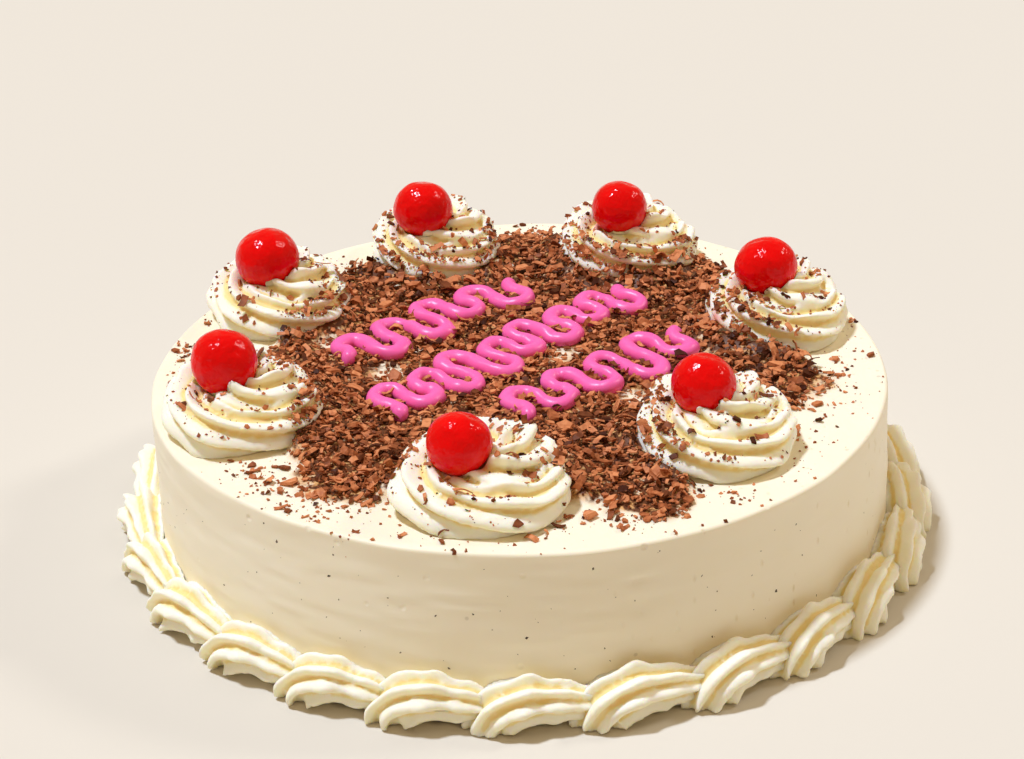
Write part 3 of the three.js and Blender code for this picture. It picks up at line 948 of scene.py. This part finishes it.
def chip_shapes(sizes, rng):
    """Flat broken chips with five uneven corners and a chamfered upper edge."""
    count = len(sizes)
    angle = (np.arange(5) + rng.uniform(-0.28, 0.28, (count, 5))) / 5 * TURN
    r = sizes[:, None] * rng.uniform(0.62, 1, (count, 5))
    narrow = rng.uniform(0.5, 0.9, (count, 1))
    thick = sizes[:, None] * rng.uniform(0.07, 0.2, (count, 1))
    low = np.stack([r * np.cos(angle), r * narrow * np.sin(angle), -thick * np.ones((1, 5))], axis=2)
    high = low * [0.86, 0.86, -1] + rng.uniform(-0.06, 0.06, (count, 5, 3)) * sizes[:, None, None]
    faces = [[4, 3, 2, 1, 0], [5, 6, 7, 8, 9]]
    faces += [[k, (k + 1) % 5, (k + 1) % 5 + 5, k + 5] for k in range(5)]
    return np.concatenate([low, high], axis=1), faces


def shaving_shapes(sizes, rng):
    """Thin curled shavings with ragged edges."""
    count = len(sizes)
    columns, rows = 4, 3
    u = np.linspace(-1, 1, columns)
    v = np.linspace(-1, 1, rows)
    width = rng.uniform(0.3, 0.62, (count, 1, 1)) * sizes[:, None, None]
    ragged = rng.uniform(0.6, 1.1, (count, columns, rows))
    x = sizes[:, None, None] * (u[None, :, None] + rng.uniform(-0.12, 0.12, (count, columns, rows)))
    y = width * v[None, None, :] * ragged
    curl = rng.uniform(0.2, 1.1, (count, 1, 1)) / sizes[:, None, None] * rng.choice([-1, 1], (count, 1, 1))
    thick = rng.uniform(0.16, 0.34, (count, 1, 1))
    layers = []
    for height in (0, 1):
        bend = 1 / curl - height * thick
        layers.append(np.stack([bend * np.sin(curl * x), y, 1 / curl - bend * np.cos(curl * x)], axis=3))
    shapes = np.stack(layers, axis=1).reshape(count, -1, 3)
    shapes -= shapes.mean(axis=1, keepdims=True)
    size = columns * rows
    faces = []
    for i in range(columns - 1):
        for j in range(rows - 1):
            a = i * rows + j
            faces.append([a, a + 1, a + rows + 1, a + rows])
            faces.append([a + size, a + rows + size, a + rows + 1 + size, a + 1 + size])
    rim = [i * rows for i in range(columns)] + [(columns - 1) * rows + j for j in range(1, rows)]
    rim += [i * rows + rows - 1 for i in range(columns - 2, -1, -1)] + [j for j in range(rows - 2, 0, -1)]
    for a, b in zip(rim, rim[1:] + rim[:1]):
        faces.append([a, b, b + size, a + size])
    return shapes, faces


def crumb_shapes(sizes, rng):
    """Small broken grains."""
    count = len(sizes)
    base = np.array([[1, 0, 0], [0, 1, 0], [-1, 0, 0], [0, -1, 0], [0, 0, 0.6], [0, 0, -0.6]], float)
    shapes = (base + rng.uniform(-0.35, 0.35, (count, 6, 3))) * sizes[:, None, None]
    faces = [[0, 1, 4], [1, 2, 4], [2, 3, 4], [3, 0, 4], [1, 0, 5], [2, 1, 5], [3, 2, 5], [0, 3, 5]]
    return shapes, faces


def chip_places():
    """The same places as the large chips of the solids."""
    draw = series(CHIP_SEED)
    places = []
    while len(places) < CHIP_COUNT:
        angle = draw() * TURN
        r = math.sqrt(draw()) * CHIP_BED
        x, y = r * math.cos(angle), r * math.sin(angle)
        if rosette_distance(x, y) <= CHIP_LARGEST + CHIP_FROM_ROSETTE:
            continue
        if np.hypot(*(LINES - [x, y]).T).min() <= CHIP_LARGEST + PIPE_WIDTH / 2 + CHIP_FROM_PIPE:
            continue
        if any(math.hypot(x - px, y - py) <= CHIP_SPACING for px, py in places):
            continue
        places.append((x, y))
    return np.array(places)


def sample_places(rng, count, chance, clear):
    """Places on the top, taken with the given chance, clear of the piping and cherries."""
    found = []
    total = 0
    while total < count:
        r = np.sqrt(rng.uniform(0, 1, 4 * count)) * TOP_REACH
        angle = rng.uniform(0, TURN, 4 * count)
        x, y = r * np.cos(angle), r * np.sin(angle)
        keep = rng.uniform(0, 1, len(x)) < chance(x, y)
        x, y = x[keep], y[keep]
        free = line_distance(x, y) > clear
        for cx, cy, radius in CHERRIES:
            free &= np.hypot(x - cx, y - cy) > radius - 1.2
        found.append(np.column_stack([x[free], y[free]]))
        total += free.sum()
    return np.concatenate(found)[:count]


def on_rosettes(x, y):
    """How likely chocolate lies on a rosette: in clumps, mostly on the side that faces the middle."""
    inner = smooth((98 - np.hypot(x, y)) / 40)
    clumps = smooth(0.45 + 1.3 * noise(flat(x, y), 7, 91))
    return (0.17 + 0.95 * inner ** 1.3) * (0.25 + 1.15 * clumps)


def loose(x, y):
    """How likely a flake lies in one of the small groups beside the bed."""
    return sum(amount * soft_spot(x, y, px, py, radius) for px, py, radius, amount in LOOSE)


def climb(x, y):
    """The bed's share that lies up against the feet of the rosettes."""
    return bed_density(x, y) * smooth((rosette_distance(x, y) + 11) / 8)


def bed_chance(x, y):
    """How likely a chip or shaving lies at a place."""
    inside = smooth(0.5 - rosette_distance(x, y) / 2)
    open_top = bed_density(x, y) + 0.35 * loose(x, y) + 0.035 * smooth((115 - np.hypot(x, y)) / 10)
    return open_top * (1 - inside) + inside * np.maximum(on_rosettes(x, y) * 0.6, climb(x, y))


def crumb_chance(x, y):
    """How likely a crumb lies at a place: crumbs also lie thinly all over the top."""
    inside = smooth(0.5 - rosette_distance(x, y) / 2)
    near_edge = np.clip(1 - (np.hypot(x, y) - 78) / 36, 0, 1)
    open_top = 0.5 * bed_density(x, y) + 0.35 * loose(x, y) + 0.16 * near_edge + 0.04
    return open_top * (1 - inside) + inside * (np.maximum(on_rosettes(x, y) * 0.8, climb(x, y)) + 0.07)


def pile(x, y, rng):
    """Height above the cream: pieces lie over each other in the thick of the bed."""
    thick = bed_density(x, y) * smooth((rosette_distance(x, y) + 9) / 9)
    return thick * rng.uniform(0, 1, len(x)) ** 0.8 * PILE_HEIGHT


def laid(trees, xy, sizes, raised, piled, rng):
    """Places on the cream, raised by shares of a piece's size and of the pile, and the cream's normals."""
    places, normals = settle(trees, *xy.T)
    places[:, 2] += raised * sizes + pile(*xy.T, rng) * piled
    return places, normals


def vanilla_grains(tree, finish):
    """Dark grains of vanilla pressed flat in the wall."""
    rng = np.random.default_rng(VANILLA_SEED)
    count = VANILLA_GRAINS
    angle = rng.uniform(0, TURN, count)
    height = rng.uniform(9, 51, count)
    sizes = 0.13 + 0.34 * rng.uniform(0, 1, count) ** 2.5
    places = np.zeros((count, 3))
    normals = np.zeros((count, 3))
    for i in range(count):
        out = Vector((math.cos(angle[i]), math.sin(angle[i]), 0))
        hit, normal, _, _ = tree.ray_cast(out * 0.15 + Vector((0, 0, height[i] * MM)), -out)
        places[i] = np.array(hit) / MM
        normals[i] = normal
    shapes, faces = crumb_shapes(sizes, rng)
    shapes[:, :, 0] *= 1.5
    shapes[:, :, 2] *= 0.35
    turns = turned_by(normals, np.zeros(count), rng)
    obj = scattered("vanilla_grains", shapes, faces, places, turns, rng.uniform(0, 1, count))
    dress(obj, finish, "icing")


def chocolate_pieces(trees, finish):
    rng = np.random.default_rng(CHOCOLATE_SEED)
    large = chip_places()
    small = sample_places(rng, SMALL_CHIPS, bed_chance, 1.9)
    xy = np.concatenate([large, small])
    large_sizes = CHIP_LARGEST + (CHIP_SMALLEST - CHIP_LARGEST) * np.arange(len(large)) / len(large)
    sizes = np.concatenate([large_sizes, 0.75 + 1.5 * rng.uniform(0, 1, len(small)) ** 2.2])
    places, normals = laid(trees, xy, sizes, 0.25, 0.7, rng)
    tilt = np.abs(rng.normal(0, 0.52, len(xy)))
    tones = np.clip(rng.normal(0.62, 0.4, len(xy)), 0.05, 1.15)
    shapes, faces = chip_shapes(sizes, rng)
    chips = scattered("chocolate_chips", shapes, faces, places, turned_by(normals, tilt, rng), tones)

    xy = sample_places(rng, SHAVINGS, bed_chance, 2.0)
    sizes = 0.95 + 1.9 * rng.uniform(0, 1, len(xy)) ** 2.4
    places, normals = laid(trees, xy, sizes, 0.3, 0.9, rng)
    tilt = np.abs(rng.normal(0, 0.5, len(xy)))
    tones = np.clip(rng.normal(0.7, 0.36, len(xy)), 0.05, 1.15)
    shapes, faces = shaving_shapes(sizes, rng)
    shavings = scattered("chocolate_shavings", shapes, faces, places, turned_by(normals, tilt, rng), tones)

    xy = sample_places(rng, CRUMBS, crumb_chance, 2.2)
    sizes = 0.2 + 0.62 * rng.uniform(0, 1, len(xy)) ** 2.1
    places, normals = laid(trees, xy, sizes, 0.25, 0.4, rng)
    tones = np.clip(rng.normal(0.62, 0.3, len(xy)), 0.05, 1.1)
    tilt = np.abs(rng.normal(0, 0.8, len(xy)))
    shapes, faces = crumb_shapes(sizes, rng)
    crumbs = scattered("chocolate_crumbs", shapes, faces, places, turned_by(normals, tilt, rng), tones)
    for obj in (chips, shavings, crumbs):
        dress(obj, finish, "chocolate")


# Everything is made here.

cream_finish = piped_cream()
cherry_finish = cherry()
pink_finish = pink_piping()

cake = dress(iced_cake(), icing(), "icing", "cake_body")
swirls = []
for n, values in enumerate(ROSETTES):
    swirls.append(dress(rosette(n, *values), cream_finish, "piped_cream", f"rosette_{n + 1}"))
for n, values in enumerate(CHERRIES):
    dress(cherry_body(n, *values), cherry_finish, "cherry", f"cherry_{n + 1}")
starts = shell_starts()
for n in range(SHELLS):
    piece = shell(n, starts[n], starts[n + 1])
    dress(piece, cream_finish, "piped_cream", f"shell_{n + 1:02d}")
for n, track in enumerate(TRACKS):
    dress(pipe_line(n, track), pink_finish, "pink_piping", f"piping_{n + 1}")

graph = bpy.context.evaluated_depsgraph_get()
cream_trees = [BVHTree.FromObject(obj, graph) for obj in (cake, *swirls)]
chocolate_pieces(cream_trees, chocolate())
vanilla_grains(cream_trees[0], vanilla())


# The floor, the camera at the photograph's viewing angle, and soft studio light.

def floor():
    half = 40000
    below = 0.3
    corners = [(-half, -half, 0), (half, -half, 0), (half, half, 0), (-half, half, 0)]
    obj = new_object("floor", np.array(corners, float), [[0, 1, 2, 3]])
    obj.location.z = -below * MM
    obj.data.materials.append(floor_finish())


def camera():
    pitch = math.radians(27.20)
    heading = math.radians(-0.189)
    roll = math.radians(-1.496)
    focal_pixels = 2994.6
    image_width = 1024
    distance = 1.0
    rise = math.radians(29.78)
    place = (0, -distance * math.cos(rise), distance * math.sin(rise))
    level = math.cos(pitch)
    ahead = Vector((math.sin(heading) * level, math.cos(heading) * level, -math.sin(pitch)))
    right = ahead.cross(Vector((0, 0, 1))).normalized()
    above = right.cross(ahead)
    x_axis = right * math.cos(roll) + above * math.sin(roll)
    y_axis = -right * math.sin(roll) + above * math.cos(roll)
    data = bpy.data.cameras.new("camera")
    data.sensor_width = 36
    data.lens = focal_pixels * data.sensor_width / image_width
    obj = bpy.data.objects.new("camera", data)
    turned = Matrix((x_axis, y_axis, -ahead)).transposed()
    obj.matrix_world = Matrix.Translation(place) @ turned.to_4x4()
    bpy.context.scene.collection.objects.link(obj)
    bpy.context.scene.camera = obj


def sun(name, towards, strength, colour, spread):
    """A lamp far away in a direction. spread is the width of its disc in degrees."""
    data = bpy.data.lights.new(name, "SUN")
    data.energy = strength
    data.color = colour
    data.angle = math.radians(spread)
    obj = bpy.data.objects.new(name, data)
    obj.rotation_euler = Vector(towards).to_track_quat("Z", "Y").to_euler()
    bpy.context.scene.collection.objects.link(obj)


def sky():
    world = bpy.data.worlds.new("studio")
    world.use_nodes = True
    background = world.node_tree.nodes["Background"]
    background.inputs["Color"].default_value = (1.0, 0.75, 0.445, 1)
    background.inputs["Strength"].default_value = 0.45
    bpy.context.scene.world = world


floor()
camera()
sun("key", (-0.34, 0.08, 0.92), 3.0, (0.78, 0.87, 1.0), 7)
sun("right", (0.72, 0.3, 0.64), 0.6, (0.97, 0.94, 0.88), 10)
sky()
scene = bpy.context.scene
scene.view_settings.view_transform = "Standard"
scene.cycles.use_denoising = True
